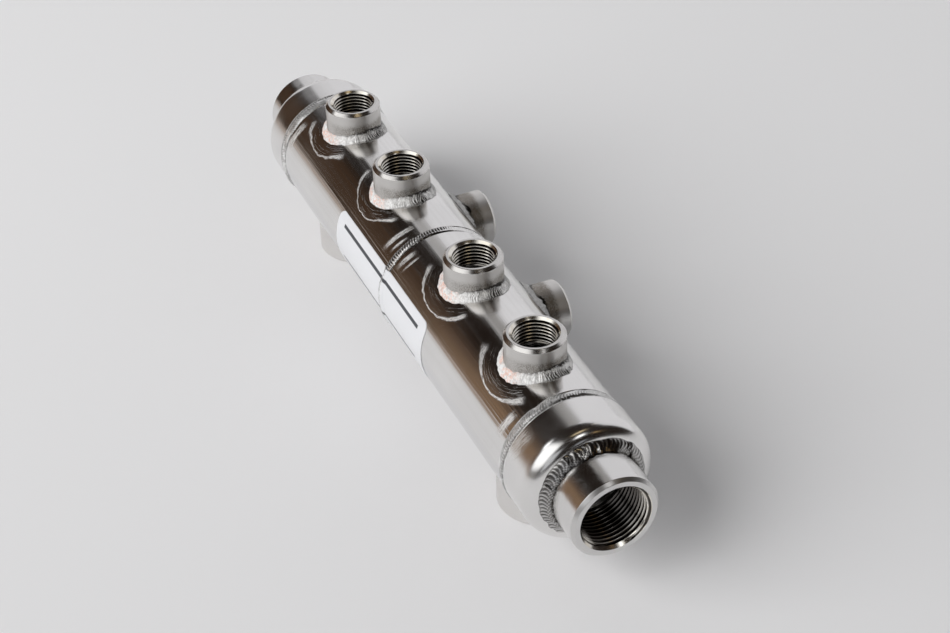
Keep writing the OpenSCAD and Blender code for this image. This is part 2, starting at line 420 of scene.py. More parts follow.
def piece(name, meshes, node, sharp=None, place=Matrix.Identity(4)):
    """Joins meshes to one closed piece with its faces outwards, which stands for a solid node.
    Edges that turn by more than sharp, in degrees, stay sharp."""
    gathered = bmesh.new()
    materials = []
    for mesh in meshes:
        already = len(gathered.faces)
        gathered.from_mesh(mesh)
        gathered.faces.ensure_lookup_table()
        for face in gathered.faces[already:]:
            face.material_index += len(materials)
        materials += list(mesh.materials)
    bmesh.ops.remove_doubles(gathered, verts=gathered.verts, dist=WELD_DISTANCE)
    bmesh.ops.dissolve_degenerate(gathered, edges=gathered.edges, dist=SHORTEST_EDGE)
    bmesh.ops.recalc_face_normals(gathered, faces=gathered.faces)
    gathered.transform(place)
    for face in gathered.faces:
        face.smooth = True
    final = bpy.data.meshes.new(name)
    gathered.to_mesh(final)
    gathered.free()
    for material in materials:
        final.materials.append(material)
    if sharp:
        final.set_sharp_from_angle(angle=math.radians(sharp))
    made = placed(name, final)
    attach(made, "root")
    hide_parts(node)


def turns_of(count):
    """The angles of so many columns that go once round"""
    return np.arange(count) * FULL_TURN / count


def swing(turns, degrees):
    """How far each turn is from an angle, the short way round"""
    return (turns - math.radians(degrees) + math.pi) % FULL_TURN - math.pi


def hump(turns, degrees, spread):
    """A smooth rise to 1 at an angle, which dies away over the spread on either side"""
    return np.exp(-(swing(turns, degrees) / math.radians(spread)) ** 2)


def round_z(radius, turns, z):
    """A ring of points round the Z axis"""
    return np.stack([radius * np.cos(turns), radius * np.sin(turns), z], axis=1)


def shell_height(radius, turns):
    """Height of the shell over its axis at each turn round a port, at a radius from its axis"""
    return np.sqrt(shell_r ** 2 - (radius * np.sin(turns)) ** 2)


def softened(outline, ease, bend=3):
    """An outline of (radius, height) points with each inner corner rounded, and a support point
    on either side of the rounding so that flat faces stay flat"""
    outline = [np.array(p, float) for p in outline]
    result = [outline[0]]
    for before, corner, after in zip(outline, outline[1:], outline[2:]):
        to_before = (before - corner) / np.linalg.norm(before - corner)
        to_after = (after - corner) / np.linalg.norm(after - corner)
        result.append(corner + to_before * ease * 2)
        for i in range(bend + 1):
            t = i / bend
            result.append(corner + to_before * ease * (1 - t) ** 2 + to_after * ease * t ** 2)
        result.append(corner + to_after * ease * 2)
    return result + [outline[-1]]


# ---------------------------------------------------------------- couplings

SEGMENTS = 144
FOOT_ROWS = 3
MOUTH_CHAMFER = 1.5 * MM
EDGE_EASE = 0.12 * MM
# Edges of a coupling that turn by more than this stay sharp, in degrees
SHARP_EDGE = 32
# Pitch and depth of the pipe thread of each size. A bore of more than LARGE_BORE has the large one.
LARGE_BORE = 12 * MM
LARGE_THREAD = (2.209 * MM, 1.55 * MM)
SMALL_THREAD = (1.814 * MM, 1.3 * MM)
THREAD_ROWS = 8


def soot_and_shade(port, turns):
    """How much a coupling's wall is darkened near its weld at each turn, by soot and by painted shade:
    most at the side, and on top towards one end
    """
    # The side couplings' walls get heavy painted shade all round, for the shaded table they mirror
    if at_side(port):
        return np.full(len(turns), 1.7)
    if on_top(port):
        return np.clip(0.35 + 0.65 * np.cos(turns - math.radians(20)), 0, 1)
    return np.zeros(len(turns))


def gap_shadow_over_weld(port, turns):
    """How deep a painted shadow of a gap shows between a coupling's wall and its weld, at each turn"""
    if at_side(port):
        return hump(turns, -128, 24) + hump(turns, -60, 14)
    if on_top(port):
        return 0.7 * hump(turns, 28, 34)
    return np.zeros(len(turns))


def coupling(port, body_steel, thread_steel):
    """A threaded half coupling: turned wall, chamfer, face, countersink, thread and saddle foot"""
    turns = turns_of(SEGMENTS)
    reach = port.mouth.dot(port.axis)
    low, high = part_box(port.coupling)
    thread_length = reach - shell_r if port.on_shell else high.x - low.x

    def even(value):
        return np.full(SEGMENTS, value)

    def foot(radius):
        """Height of the coupling's lower end at each turn, counted from its mouth"""
        return shell_height(radius, turns) - reach if port.on_shell else even(-thread_length)

    rings = [(even(port.bore), even(-thread_length))]
    for radius in np.linspace(port.bore, port.wall, FOOT_ROWS + 1):
        rings.append((even(radius), foot(radius)))
    outline = softened([(port.wall, -3 * MOUTH_CHAMFER), (port.wall, -MOUTH_CHAMFER),
                        (port.wall - MOUTH_CHAMFER, 0), (port.flare, 0)], EDGE_EASE)
    rings += [(even(radius), even(z)) for radius, z in outline]
    heights = np.array([z for _, z in rings])
    body = woven([round_z(radius, turns, z) for radius, z in rings], False, {
        "below_mouth": -heights, "over_foot": heights - foot(port.wall),
        "sooty_and_shaded": soot_and_shade(port, turns), "gap_shadow": gap_shadow_over_weld(port, turns)})
    body.materials.append(body_steel)
    pitch, depth = LARGE_THREAD if port.bore > LARGE_BORE else SMALL_THREAD
    bore = grown(bpy.data.meshes.new("empty"), tapped_bore, {
        "Crest Radius": port.bore, "Groove Depth": depth, "Pitch": pitch,
        "Length": thread_length, "Countersink": port.countersink, "Segments": SEGMENTS,
        "Rows per Turn": THREAD_ROWS, "Material": thread_steel})
    piece(f"threaded_{port.coupling}", [body, bore], port.coupling, SHARP_EDGE,
          stand(port))


# ---------------------------------------------------------------- weld beads

# How deep a bead's edges are sunk into what they join, and how deep a girth weld's bed lies
EDGE_BED = 0.15 * MM
GIRTH_BED = 0.6 * MM
FACE_ROWS = 15
COLUMNS_PER_RIPPLE = 7
# Share of a cap weld's width that is bead, the rest being the cap's own edge
BEAD_SHARE = 0.80

# The ripples of a bead: their pitch, height and bow, how far they wander, how even they are, and
# the height of the grain on them
Ripples = namedtuple("Ripples", "pitch height bow wander evenness grain")
SHELL_FILLET = Ripples(1.15 * MM, 0.52 * MM, 1.2, 1.5, 0.1, 0.50 * MM)
CAP_FILLET = Ripples(1.9 * MM, 0.13 * MM, 1.5, 0.55, 0.7, 0.07 * MM)
MID_GIRTH = Ripples(1.35 * MM, 0.50 * MM, 0.4, 0.5, 0.9, 0.24 * MM)
CAP_GIRTH = Ripples(1.35 * MM, 0.26 * MM, 1.2, 0.5, 0.1, 0.24 * MM)

# The first port's weld draws from this seed, and each next one from the next seed
PORT_SEED = 11
# The welds round the shell: the side on which a cap lies, the angle from which the bead is
# dressed, and the seed
GIRTH_WELDS = [("mid_girth_weld", 0, 6, 31), ("cap_girth_weld_a", -1, 12, 32),
               ("cap_girth_weld_b", 1, 14, 33)]


def waver(turns, count, rng):
    """A smooth closed curve of random waves, about 1 high"""
    waves = sum(rng.normal() * np.sin(k * turns + rng.uniform(0, FULL_TURN)) / math.sqrt(k)
                for k in range(2, count))
    return waves / 2


def ripple_turns(radius, ripples):
    """The turns of a bead's columns, so many that whole ripples go round at a radius"""
    return turns_of(round(FULL_TURN * radius / ripples.pitch) * COLUMNS_PER_RIPPLE)


def domed(across, power):
    """The face of a bead between its edges: flat for a high power"""
    return 1 - np.abs(2 * across - 1) ** power


def bead(node, edges, outward, bed, profile, vigour, edge_shade_and_dirt, ripples, finish, seed):
    """A weld bead between two edge lines. Its face rises outwards between them as profile says,
    and bed is the line that it is sunk to behind them. vigour is how coarse it is along it, and
    edge_shade_and_dirt tells how much painted shade, with some soiling, lies at each place
    across the bead and along it."""
    upper, lower = edges
    columns = len(upper)
    across = 0.5 - 0.5 * np.cos(np.linspace(0, math.pi, FACE_ROWS))
    rise, skin = profile(across)
    rows = [upper + (lower - upper) * t + outward * h for t, h in zip(across, rise)]
    rows.append(bed)
    mesh = woven(rows, True, {
        "turn": np.arange(columns) / columns, "across": np.append(across, 0.5)[:, None],
        "skin": np.append(skin, 0)[:, None], "vigour": vigour,
        "crevice_shade_and_dirt": np.vstack([edge_shade_and_dirt(across[:, None]), 0 * vigour])})
    turned = bmesh.new()
    turned.from_mesh(mesh)
    bmesh.ops.recalc_face_normals(turned, faces=turned.faces)
    turned.to_mesh(mesh)
    turned.free()
    mesh = grown(mesh, weld_ripples, {
        "Ripples": columns / COLUMNS_PER_RIPPLE, "Height": ripples.height, "Bow": ripples.bow,
        "Wander": ripples.wander, "Evenness": ripples.evenness, "Roughness": ripples.grain,
        "Seed": float(seed), "Material": finish})
    piece(f"rippled_{node}", [mesh], node)


def port_bead(port, finish, seed):
    """The fillet weld where a coupling meets the shell, or a cap's flat face"""
    rng = np.random.default_rng(seed)
    ripples = SHELL_FILLET if port.on_shell else CAP_FILLET
    bulge = (0.20 if port.on_shell else 0.22) * MM
    low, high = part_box(port.weld)
    leg = abs((high - low).dot(port.along)) / 2 - port.wall
    turns = ripple_turns(port.wall + leg / 2, ripples)
    reach = port.mouth.dot(port.axis)
    up_leg = leg * (0.88 + 0.12 * waver(turns, 40, rng))
    out_leg = leg * (0.98 + 0.09 * waver(turns, 36, rng))
    if port.on_shell:
        wall_foot = shell_height(port.wall, turns) - reach
        toe_r = port.wall + out_leg * (shell_height(port.wall, turns) / shell_r) ** 3
        toe = shell_height(toe_r, turns) - reach
        vigour = 0.15 + 0.85 * hump(turns, 22, 55)
    else:
        cap_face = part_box("end_cap_a")[0] if port.axis.x < 0 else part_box("end_cap_b")[1]
        wall_foot = np.full(len(turns), cap_face.dot(port.axis) - reach)
        toe_r = port.wall + out_leg
        toe = wall_foot
        vigour = np.ones(len(turns))
    top = wall_foot + up_leg
    place = stand(port)
    turn_of = np.array(place.to_3x3()).T
    slope = np.stack([top - toe, toe_r - port.wall], axis=1)
    slope /= np.linalg.norm(slope, axis=1)[:, None]
    outward = round_z(slope[:, 0], turns, slope[:, 1]) @ turn_of
    # Painted shade along the edges: heavy all round on the side ports, elsewhere as coarse as the bead
    soil_and_shade = np.maximum(vigour, (1.6 + 1.6 * waver(turns, 14, rng)) * at_side(port))

    def line(radius, z):
        return round_z(radius, turns, z) @ turn_of + np.array(place.translation)

    def profile(across):
        return bulge * domed(across, 3), np.sin(np.pi * across) ** 0.35

    def edge_shade_and_dirt(across):
        """Painted shade with some soiling, wide along the wall and narrow along the toe"""
        by_wall = np.clip(1 - across / 0.28, 0, 1)
        by_toe = np.clip((across - 0.86) / 0.14, 0, 1)
        return soil_and_shade * (1.8 * by_wall + by_toe)

    wall_r = port.wall - EDGE_BED
    edges = (line(wall_r, top), line(toe_r, toe - EDGE_BED))
    bead(port.weld, edges, outward, line(wall_r, wall_foot - EDGE_BED), profile,
         vigour, edge_shade_and_dirt, ripples, finish, seed)


def girth_bead(node, side, worked_from, finish, seed):
    """A butt weld round the shell. side is -1 or 1 where a cap lies on that side, 0 in the middle.
    From the angle worked_from, counted from the top towards +Y, the bead is dressed almost flush
    for 75 degrees."""
    rng = np.random.default_rng(seed)
    low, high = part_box(node)
    half = (high.x - low.x) / 2
    x = (low.x + high.x) / 2
    ripples = CAP_GIRTH if side else MID_GIRTH
    turns = ripple_turns(shell_r, ripples)
    from_start = (turns - math.radians(worked_from)) % FULL_TURN
    rough = np.clip((from_start - math.radians(75)) / math.radians(12), 0, 1)
    rough = np.maximum(rough, np.clip(1 - from_start / math.radians(10), 0, 1))
    # Where the painted shadow of the crack lies, at the start of the dressing
    crack = 6 * hump(turns, worked_from - 2, 13)

    def ring(place, radius):
        return np.stack([place + 0 * turns, radius * np.sin(turns), radius * np.cos(turns)], axis=1)

    def ragged(share):
        return half * share * (0.92 + 0.13 * waver(turns, 40, rng))

    edges = [ring(x - (side or 1) * ragged(1), shell_r - EDGE_BED)]
    if side:
        edges.append(ring(x + side * half, cap_r - EDGE_BED))
    else:
        edges.append(ring(x + ragged(0.94), shell_r - EDGE_BED))
    crown = (0.17 + 0.43 * rough) * MM

    def plain(across):
        """Rippled on one side of its middle and smooth on the other"""
        rippled = np.clip((0.68 - across) / 0.1, 0.08, 1)
        return domed(across, 4), np.sin(np.pi * across) ** 0.3 * rippled

    def lipped(across):
        """The bead, then a dip, then the cap's own rounded edge"""
        on_bead = np.clip(across / BEAD_SHARE, 0, 1)
        on_lip = np.clip((across - BEAD_SHARE) / (1 - BEAD_SHARE), 0, 1)
        rise = domed(on_bead, 4) + 0.3 * np.sin(np.pi * on_lip) ** 0.8
        return rise, np.where(across < BEAD_SHARE, np.sin(np.pi * on_bead) ** 0.3, 0)

    def edge_shade_and_dirt(across):
        """Painted shade with some soiling along the bead's two edges where it is rough, and a painted
        shadow in the crack where its dressing begins
        """
        foot = BEAD_SHARE if side else 1
        by_foot = np.clip(1.25 - np.abs(across - foot) / 0.13, 0, 1)
        by_start = np.clip(1 - across / 0.12, 0, 1)
        return by_foot * (1.3 * rough + crack) + 1.2 * by_start * rough

    bead(node, edges, ring(0, 1.0) * crown[:, None], ring(x, shell_r - GIRTH_BED),
         lipped if side else plain, 0.12 + 0.88 * rough, edge_shade_and_dirt, ripples, finish, seed)


# ---------------------------------------------------------------- shader groups


def window(value, start, stop, ease_in, ease_out):
    """1 between start and stop. ease_in and ease_out say how far before and after each of the
    two ends the rise and the fall reach."""
    rise = value.step(start - ease_in[0], start + ease_in[1])
    return rise * value.fade(stop - ease_out[0], stop + ease_out[1])


def grain_group():
    """Fine grain that runs along the vector's first axis and changes quickly across it"""
    tree, given, end = new_group("brushed_grain", "ShaderNodeTree", [
        ("Vector", VECTOR, None), ("Length", FLOAT, 0.03), ("Spacing", FLOAT, 0.0004)],
        [("Grain", FLOAT), ("Streaks", FLOAT)])
    x, y, z = split(tree, given["Vector"])
    along, over, up = x / given["Length"], y / given["Spacing"], z / given["Spacing"]
    fine = noise(tree, join(tree, along, over, up), 1.0, 3.0)
    broad = noise(tree, join(tree, along * 0.3, over * 0.12, up * 0.12), 1.0, 2.0)
    plug(tree, fine, end.inputs[0])
    plug(tree, broad.step(0.42, 0.68), end.inputs[1])
    return tree


def arc_group():
    """The curved scuff that a rotary brush leaves on the shell beside a top coupling, and the
    fainter rings inside it. Vector holds the place along the shell and the distance round it,
    counted from the top towards -Y. From and To are angles round the coupling, in degrees."""
    tree, given, end = new_group("scuffed_arc", "ShaderNodeTree", [
        ("Vector", VECTOR, None), ("Centre", FLOAT, 0.0), ("Radius", FLOAT, 0.025),
        ("Width", FLOAT, 0.001), ("From", FLOAT, 35.0), ("To", FLOAT, 145.0), ("Seed", FLOAT, 0.0)],
        [("Scuff", FLOAT), ("Swirl", FLOAT)])
    start, stop, radius, seed = given["From"], given["To"], given["Radius"], given["Seed"]
    x, around, _ = split(tree, given["Vector"])
    dx = x - given["Centre"]
    distance = (dx * dx + around * around).math("SQRT")
    angle = around.math("ARCTAN2", dx) * (180 / math.pi)
    drift = noise(tree, join(tree, angle / 22, seed, 0.0), 1.0, 2.0) - 0.5
    breaks = noise(tree, join(tree, angle / 7, distance * 3200, seed + 5), 1.0, 4.0, 0.7)
    rings = noise(tree, join(tree, angle / 40, distance * 2400, seed + 9), 1.0, 3.0, 0.6)
    ends = window(angle, start, stop, (4, 7), (7, 4))
    off_middle = ((angle - (start + stop) / 2) / ((stop - start) / 2)).size()
    width = given["Width"] * (off_middle * off_middle * 1.9 + 0.45 + drift * 0.9)
    band = (distance - radius - drift * 0.004).size().fade(width * 0.2, width * 1.1)
    inner = distance.step(radius - 0.009, radius - 0.005) * distance.fade(
        radius - 0.002, radius + 0.001)
    plug(tree, band * ends * breaks.step(0.36, 0.60), end.inputs[0])
    plug(tree, inner * ends * rings.step(0.54, 0.68), end.inputs[1])
    return tree


def cross_group():
    """Strokes that run round the shell beside a weld, between two distances from the top
    towards -Y"""
    tree, given, end = new_group("cross_strokes", "ShaderNodeTree", [
        ("Vector", VECTOR, None), ("Place", FLOAT, 0.0), ("Width", FLOAT, 0.002),
        ("From", FLOAT, 0.008), ("To", FLOAT, 0.026), ("Seed", FLOAT, 0.0)], [("Scuff", FLOAT)])
    x, around, _ = split(tree, given["Vector"])
    bent = x - given["Place"] + (around - given["From"]) * 0.12
    strokes = noise(tree, join(tree, bent * 2600, around * 130, given["Seed"]), 1.0, 4.0, 0.7)
    band = bent.size().fade(given["Width"] * 0.3, given["Width"])
    ends = window(around, given["From"], given["To"], (0.002, 0.004), (0.006, 0.002))
    plug(tree, band * ends * strokes.step(0.40, 0.58), end.inputs[0])
    return tree


def smudge_group():
    """Broad faint patches where the polish is duller, and sparse fine specks"""
    tree, given, end = new_group("dull_patches", "ShaderNodeTree", [
        ("Vector", VECTOR, None), ("Size", FLOAT, 0.02), ("Speck Size", FLOAT, 0.0008)],
        [("Patch", FLOAT), ("Speck", FLOAT)])
    broad = scaled(tree, given["Vector"], given["Size"].math("POWER", -1.0))
    small = scaled(tree, given["Vector"], given["Speck Size"].math("POWER", -1.0))
    plug(tree, noise(tree, broad, 1.0, 3.0).step(0.4, 0.7), end.inputs[0])
    plug(tree, noise(tree, small, 1.0, 2.0, 0.6).step(0.66, 0.74), end.inputs[1])
    return tree


def tint_group():
    """Reddish veins of heat tint on weld metal"""
    tree, given, end = new_group("heat_tint", "ShaderNodeTree", [
        ("Vector", VECTOR, None), ("Amount", FLOAT, 1.0)], [("Tint", FLOAT)])
    warp = noise(tree, given["Vector"], 160.0, 3.0)
    veins = (noise(tree, given["Vector"], 420.0, 4.0, 0.7) - 0.5).size().fade(0.0, 0.08)
    plug(tree, veins * warp.step(0.40, 0.52) * given["Amount"], end.inputs[0])
    return tree


groups = {"grain": grain_group(), "arc": arc_group(), "cross": cross_group(),
          "smudge": smudge_group(), "tint": tint_group()}


def use(tree, group, outlet, **inputs):
    """Places a shader group in a material and gives the wire of its named outlet"""
    return add(tree, "ShaderNodeGroup", outlet, {"node_tree": groups[group]}, **inputs)


# ---------------------------------------------------------------- materials

POLISHED = (0.80, 0.79, 0.78, 1)
POLISHED_PALE = (0.84, 0.83, 0.82, 1)
# Painted shade for the shell's underside
SHADED_UNDERSIDE = (0.69, 0.685, 0.69, 1)
STREAKED = (0.62, 0.59, 0.56, 1)
SCUFFED = (0.90, 0.89, 0.88, 1)
# Soot near a coupling's weld, with painted shade
STAIN_AND_SHADE = (0.24, 0.215, 0.185, 1)
# Painted shadow of the gap over a coupling's weld
GAP_SHADOW_BLACK = (0.025, 0.022, 0.02, 1)
CREST_WIPED = (0.88, 0.85, 0.79, 1)
CREST_OILY = (0.78, 0.72, 0.62, 1)
# Painted shade on the crests deep in a bore
CREST_SHADED_DEEP = (0.16, 0.15, 0.14, 1)
# Residue and painted shade in the thread roots
ROOT_RESIDUE_AND_SHADE = (0.07, 0.062, 0.055, 1)
MOTTLED = (0.30, 0.285, 0.27, 1)
# Painted shade in weld dips and crevices, and dark specks
WELD_SHADE_AND_DIRT = (0.05, 0.045, 0.04, 1)
HEAT_TINT = (0.72, 0.36, 0.25, 1)
SAWN = (0.62, 0.61, 0.60, 1)
SAWN_PALE = (0.70, 0.69, 0.68, 1)
FILM = (0.59, 0.595, 0.612, 1)
FILM_PALE = (0.63, 0.635, 0.652, 1)
INK = (0.045, 0.047, 0.055, 1)

# Scuffed arcs beside the top couplings: radius and width in mm, and the angles between which each
# one runs, in degrees
ARCS = [(24.6, 1.1, 36, 140), (24.2, 0.7, 30, 158), (25.2, 0.95, 34, 150), (25.4, 1.2, 38, 146)]
# Strokes beside the welds: place along the shell, then width and both ends round it in mm
STROKES = [(mid_x - 9.5 * MM, 2.2, 9, 26), (mid_x - 5.0 * MM, 1.2, 14, 24),
           (mid_x + 7.0 * MM, 2.2, 15, 26), (mid_x + 11.5 * MM, 1.0, 15, 25),
           (cap_weld_a_x + 7.5 * MM, 3.0, 20, 36), (cap_weld_b_x - 7.5 * MM, 3.2, 22, 34)]
# The label's two plain rules: angle from the top in degrees, half width, and both ends from the
# middle weld in mm
RULES = [(68.6, 0.95, -50.7, 41.6), (103.5, 0.80, -52.0, 39.0)]


def emptied(owner):
    """The node tree of a material or a world, with nothing in it"""
    owner.use_nodes = True
    owner.node_tree.nodes.clear()
    return owner.node_tree


def show(tree, shader, kind="ShaderNodeOutputMaterial"):
    """Leads a shader to the tree's output"""
    plug(tree, shader, tree.nodes.new(kind).inputs[0])


def new_material(name):
    """A material with one Principled shader: gives it, its tree, the shader's inputs and object
    coordinates"""
    material = bpy.data.materials.new(name)
    tree = emptied(material)
    shader = add(tree, "ShaderNodeBsdfPrincipled")
    show(tree, shader)
    return material, tree, shader.socket.node.inputs, add(tree, "ShaderNodeTexCoord", "Object")


def surface(tree, inputs, colour, metallic, roughness, relief=None):
    """Gives the shader its colour, how metallic and how rough it is, and a relief of so much
    height, strength and depth"""
    plug(tree, colour, inputs["Base Color"])
    plug(tree, metallic, inputs["Metallic"])
    plug(tree, roughness, inputs["Roughness"])
    if relief:
        height, strength, depth = relief
        bump = add(tree, "ShaderNodeBump", Height=height, Strength=strength, Distance=depth)
        plug(tree, bump, inputs["Normal"])


def mark(tree, title):
    """What each point of a piece carries under a title"""
    return add(tree, "ShaderNodeAttribute", "Fac", {"attribute_name": title})


def unrolled(tree, spot):
    """Place along the shell, and distance round it from the top towards -Y"""
    x, y, z = split(tree, spot)
    return join(tree, x, (y * -1).math("ARCTAN2", z) * shell_r, 0.0)


def strongest(wires):
    """The greatest of several wires at each place"""
    result = wires[0]
    for wire in wires[1:]:
        result = result.at_least(wire)
    return result


def shell_finish():
    """Bright steel with fine grain along it, a brushed zone on one flank, scuffs, and painted shade
    towards its underside
    """
    material, tree, inputs, spot = new_material("polished_shell_steel")
    flat = unrolled(tree, spot)
    _, around, _ = split(tree, flat)
    _, _, height_over_axis = split(tree, spot)
    grain = use(tree, "grain", "Grain", Vector=flat, Length=0.025, Spacing=0.00045)
    streaks = use(tree, "grain", "Streaks", Vector=flat, Length=0.05, Spacing=0.0002)
    patch = use(tree, "smudge", "Patch", Vector=spot, Size=0.03)
    scuffs = []
    swirls = []
    for i, (port, (radius, width, start, stop)) in enumerate(zip(filter(on_top, ports), ARCS)):
        settings = dict(Vector=flat, Centre=port.mouth.x, Radius=radius * MM, Width=width * MM,
                        From=float(start), To=float(stop), Seed=float(3 * i))
        scuffs.append(use(tree, "arc", "Scuff", **settings))
        swirls.append(use(tree, "arc", "Swirl", **settings))
    for i, (place, width, start, stop) in enumerate(STROKES):
        scuffs.append(use(tree, "cross", "Scuff", Vector=flat, Place=place, Width=width * MM,
                          From=start * MM, To=stop * MM, Seed=float(i)))
    scuff = strongest(scuffs)
    swirl = strongest(swirls)
    brushed_zone = around.step(11 * MM, 17 * MM) * around.fade(29 * MM, 34 * MM)
    colour = mix_colours(tree, patch, POLISHED, POLISHED_PALE)
    colour = mix_colours(tree, streaks * (brushed_zone * 0.6 + 0.1), colour, STREAKED)
    # Painted shade: darker towards the underside, where the steel mirrors the shaded table beside it
    colour = mix_colours(tree, height_over_axis.step(-6 * MM, 3 * MM, 0.9, 0.0), colour, SHADED_UNDERSIDE)
    colour = mix_colours(tree, scuff, colour, SCUFFED)
    roughness = 0.09 + grain * 0.07 + streaks * (brushed_zone * 0.06 + 0.04) + patch * 0.03
    roughness = roughness + scuff.at_least(swirl * 0.5) * 0.30
    height = grain * 0.8 + streaks * (brushed_zone * 1.8 + 0.25) + scuff * 3 + swirl
    surface(tree, inputs, colour, 1 - scuff * 0.42 - swirl * 0.06, roughness,
            (height, 0.4, 0.05 * MM))
    return material


def cap_finish():
    """Polished steel with faint rings round it, and one scuffed place by its weld"""
    material, tree, inputs, spot = new_material("polished_cap_steel")
    patch = use(tree, "smudge", "Patch", Vector=spot, Size=0.02)
    flat = unrolled(tree, spot)
    x, around, _ = split(tree, flat)
    rings = use(tree, "grain", "Grain", Vector=join(tree, around, x, 0.0), Length=0.03,
                Spacing=0.0005)
    scuff = use(tree, "cross", "Scuff", Vector=flat, Place=cap_weld_b_x + 6.5 * MM,
                Width=6.5 * MM, From=21 * MM, To=36 * MM, Seed=8.0)
    surface(tree, inputs, mix_colours(tree, patch, POLISHED, POLISHED_PALE), 1 - scuff * 0.25,
            0.13 + rings * 0.10 + patch * 0.06 + scuff * 0.18, (rings, 0.25, 0.04 * MM))
    return material


def turned_finish(name, colour, dull, rim_dull, ring_depth):
    """Turned steel with fine rings round the axis, a cut rim, dark specks and painted shade towards the
    weld, and a painted black shadow of a gap over it"""
    material, tree, inputs, spot = new_material(name)
    depth = mark(tree, "below_mouth")
    gap_shadow = mark(tree, "gap_shadow")
    rings = noise(tree, join(tree, depth / 0.00022, 0.0, 0.0), 1.0, 4.0, 0.7)
    broad = noise(tree, join(tree, depth / 0.0016, 0.0, 0.0), 1.0, 2.0)
    patch = use(tree, "smudge", "Patch", Vector=spot, Size=0.006)
    speck = use(tree, "smudge", "Speck", Vector=spot, Speck_Size=0.0005)
    grit = noise(tree, spot, 1900.0, 4.0, 0.75).step(0.42, 0.60)
    low_down = depth.step(4.0 * MM, 8.8 * MM)
    # Specks and grit near the weld are soiling; the general darkening towards the weld is painted shade
    stain_and_shade = speck * 0.6 + grit * low_down * 0.9 + low_down * 0.25 + patch * 0.2
    stain_and_shade = (stain_and_shade * low_down * mark(tree, "sooty_and_shaded")).at_most(1.0)
    ragged = noise(tree, spot, 900.0, 3.0) * 0.0024
    # Painted shadow: a black band where the weld's edge meets the wall
    edge = mark(tree, "over_foot") + ragged - gap_shadow * 0.0012
    gap_shadow = (gap_shadow * 1.4 * edge.fade(4.2 * MM, 5.0 * MM)).at_most(1.0)
    wall = mix_colours(tree, stain_and_shade, colour, STAIN_AND_SHADE)
    wall = mix_colours(tree, gap_shadow, wall, GAP_SHADOW_BLACK)
    rim = tuple(0.92 * c for c in colour[:3]) + (1,)
    under_rim = (1.4 * MM, 1.8 * MM)
    roughness = depth.step(*under_rim, rim_dull, dull) + rings * 0.10 + patch * 0.05
    dents = noise(tree, spot, 260.0, 3.0) * low_down
    surface(tree, inputs, mix_colours(tree, depth.step(*under_rim), rim, wall), 1.0, roughness,
            (rings * 0.6 + broad * 0.4 + dents * 8, 0.3, ring_depth))
    return material


def thread_finish(name, dark_from, dark_to):
    """Cut threads: pale crests that have been wiped clean, and roots dark with residue and painted
    shade; deeper in the bore the crests get painted shade too
    """
    material, tree, inputs, spot = new_material(name)
    patch = use(tree, "smudge", "Patch", Vector=spot, Size=0.004)
    cut = mark(tree, "cut")
    crest = cut.fade(0.04, 0.50)
    pale = mix_colours(tree, patch, CREST_WIPED, CREST_OILY)
    # Painted shade: the crests darken deeper in the bore
    pale = mix_colours(tree, mark(tree, "below_mouth").step(dark_from, dark_to), pale, CREST_SHADED_DEEP)
    # The roots are dark with residue and painted shade
    surface(tree, inputs, mix_colours(tree, crest, ROOT_RESIDUE_AND_SHADE, pale),
            1 - crest * cut.step(0.0, 0.02) * 0.30, 0.10 + crest * 0.10)
    return material


def bead_finish(name, colour, frost, tint, grime_and_shade, dull):
    """Weld metal: frosted by a wire brush, with dark specks, painted shade in its dips and crevices, a
    painted highlight where it is coarse, and faint heat tint
    """
    material, tree, inputs, spot = new_material(name)
    _, y, _ = split(tree, spot)
    speck = use(tree, "smudge", "Speck", Vector=spot, Speck_Size=0.0007)
    patch = use(tree, "smudge", "Patch", Vector=spot, Size=0.005)
    vigour = mark(tree, "vigour")
    warm = use(tree, "tint", "Tint", Vector=spot, Amount=tint) * y.fade(-13 * MM, -4 * MM)
    warm = warm * vigour.fade(0.15, 0.34)
    brushed = noise(tree, spot, 1600.0, 4.0, 0.7)
    # Dark specks, and painted shade in the ripples' dips and the crevices
    dark = (speck * 0.45).at_least(mark(tree, "groove") * grime_and_shade).at_most(1.0)
    mottle = noise(tree, spot, 900.0, 5.0, 0.75).fade(0.38, 0.58) * frost
    # Painted highlight: the base is lighter where the bead is coarse and frosted
    painted_light_tone = tuple(min(1.0, 1.28 * c) for c in colour[:3]) + (1,)
    base = mix_colours(tree, vigour.step(0.45, 0.85) * frost, colour, painted_light_tone)
    base = mix_colours(tree, mottle * 0.55, base, MOTTLED)
    base = mix_colours(tree, dark, base, WELD_SHADE_AND_DIRT)
    frosted = (0.90 + patch * 0.10) * vigour.step(0.4, 0.9, 1.0, 0.25)
    surface(tree, inputs, mix_colours(tree, warm, base, HEAT_TINT), 1 - frost * frosted,
            dull + brushed * 0.16 + patch * 0.08, (brushed, 0.35, 0.00008 + dull * 0.0003))
    return material


def label_finish():
    """Plain white film with two dark rules"""
    material, tree, inputs, spot = new_material("label_film")
    x, around, _ = split(tree, unrolled(tree, spot))
    soft = 0.05 * MM
    lines = []
    for angle, half, start, stop in RULES:
        off = (around - math.radians(angle) * shell_r).size()
        line = off.fade(half * MM - soft, half * MM + soft)
        lines.append(line * window(x, mid_x + start * MM, mid_x + stop * MM, (soft, soft), (soft, soft)))
    film = mix_colours(tree, noise(tree, spot, 60.0), FILM, FILM_PALE)
    surface(tree, inputs, mix_colours(tree, strongest(lines), film, INK), 0.0,
            0.38 + noise(tree, spot, 400.0) * 0.1, (noise(tree, spot, 500.0), 0.1, 0.05 * MM))
    return material


